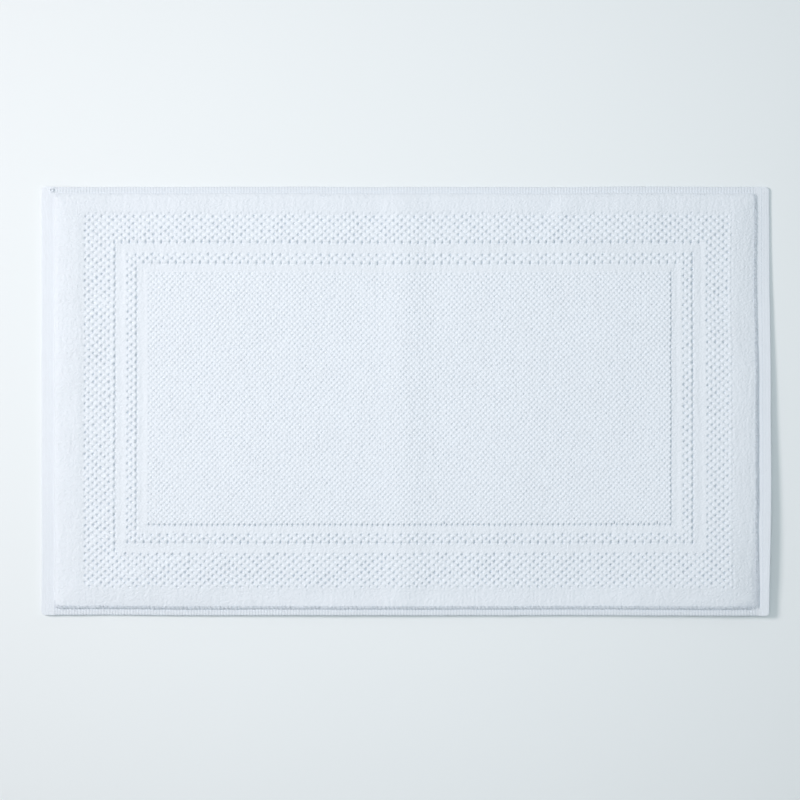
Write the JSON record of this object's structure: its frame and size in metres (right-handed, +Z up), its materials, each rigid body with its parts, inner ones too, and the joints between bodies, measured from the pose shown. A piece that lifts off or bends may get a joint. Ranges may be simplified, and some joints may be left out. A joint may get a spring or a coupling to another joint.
{
  "type": "bath mat",
  "caption": "Rectangular woven terry bath mat, white, with framed lattice-pattern pile and stitched flat hems.",
  "frame": {"origin": "on the floor, under the middle of the mat", "axes": "+X along the long sides, +Y along the short sides, +Z up through the face pile"},
  "size_m": [0.864, 0.508, 0.0078],
  "materials": {
    "plain_terry": "dense upright cotton loops, no pattern",
    "lattice_terry": "cotton loops with a staggered grid of small pits",
    "field_terry": "cotton loops with a fine staggered grid of shallow pits",
    "underside_terry": "short cotton loops, flattened by the floor",
    "flat_weave": "plain woven cotton with fine ribs and no pile",
    "sewing_thread": "twisted cotton sewing thread"
  },
  "bodies": {
    "root": {"ground_cloth": "flat_weave", "underside_pile": "underside_terry", "border_pile_left": "plain_terry", "border_pile_right": "plain_terry", "border_pile_bottom": "plain_terry", "border_pile_top": "plain_terry", "wide_lattice_left": "lattice_terry", "wide_lattice_right": "lattice_terry", "wide_lattice_bottom": "lattice_terry", "wide_lattice_top": "lattice_terry", "middle_band_left": "plain_terry", "middle_band_right": "plain_terry", "middle_band_bottom": "plain_terry", "middle_band_top": "plain_terry", "narrow_lattice_left": "lattice_terry", "narrow_lattice_right": "lattice_terry", "narrow_lattice_bottom": "lattice_terry", "narrow_lattice_top": "lattice_terry", "inner_band_left": "plain_terry", "inner_band_right": "plain_terry", "inner_band_bottom": "plain_terry", "inner_band_top": "plain_terry", "centre_field": "field_terry", "hem_left": "flat_weave", "needle_thread_left": "sewing_thread", "bobbin_thread_left": "sewing_thread", "hem_right": "flat_weave", "needle_thread_right": "sewing_thread", "bobbin_thread_right": "sewing_thread", "hem_bottom": "flat_weave", "needle_thread_bottom": "sewing_thread", "bobbin_thread_bottom": "sewing_thread", "hem_top": "flat_weave", "needle_thread_top": "sewing_thread", "bobbin_thread_top": "sewing_thread"}
  },
  "joints": []
}
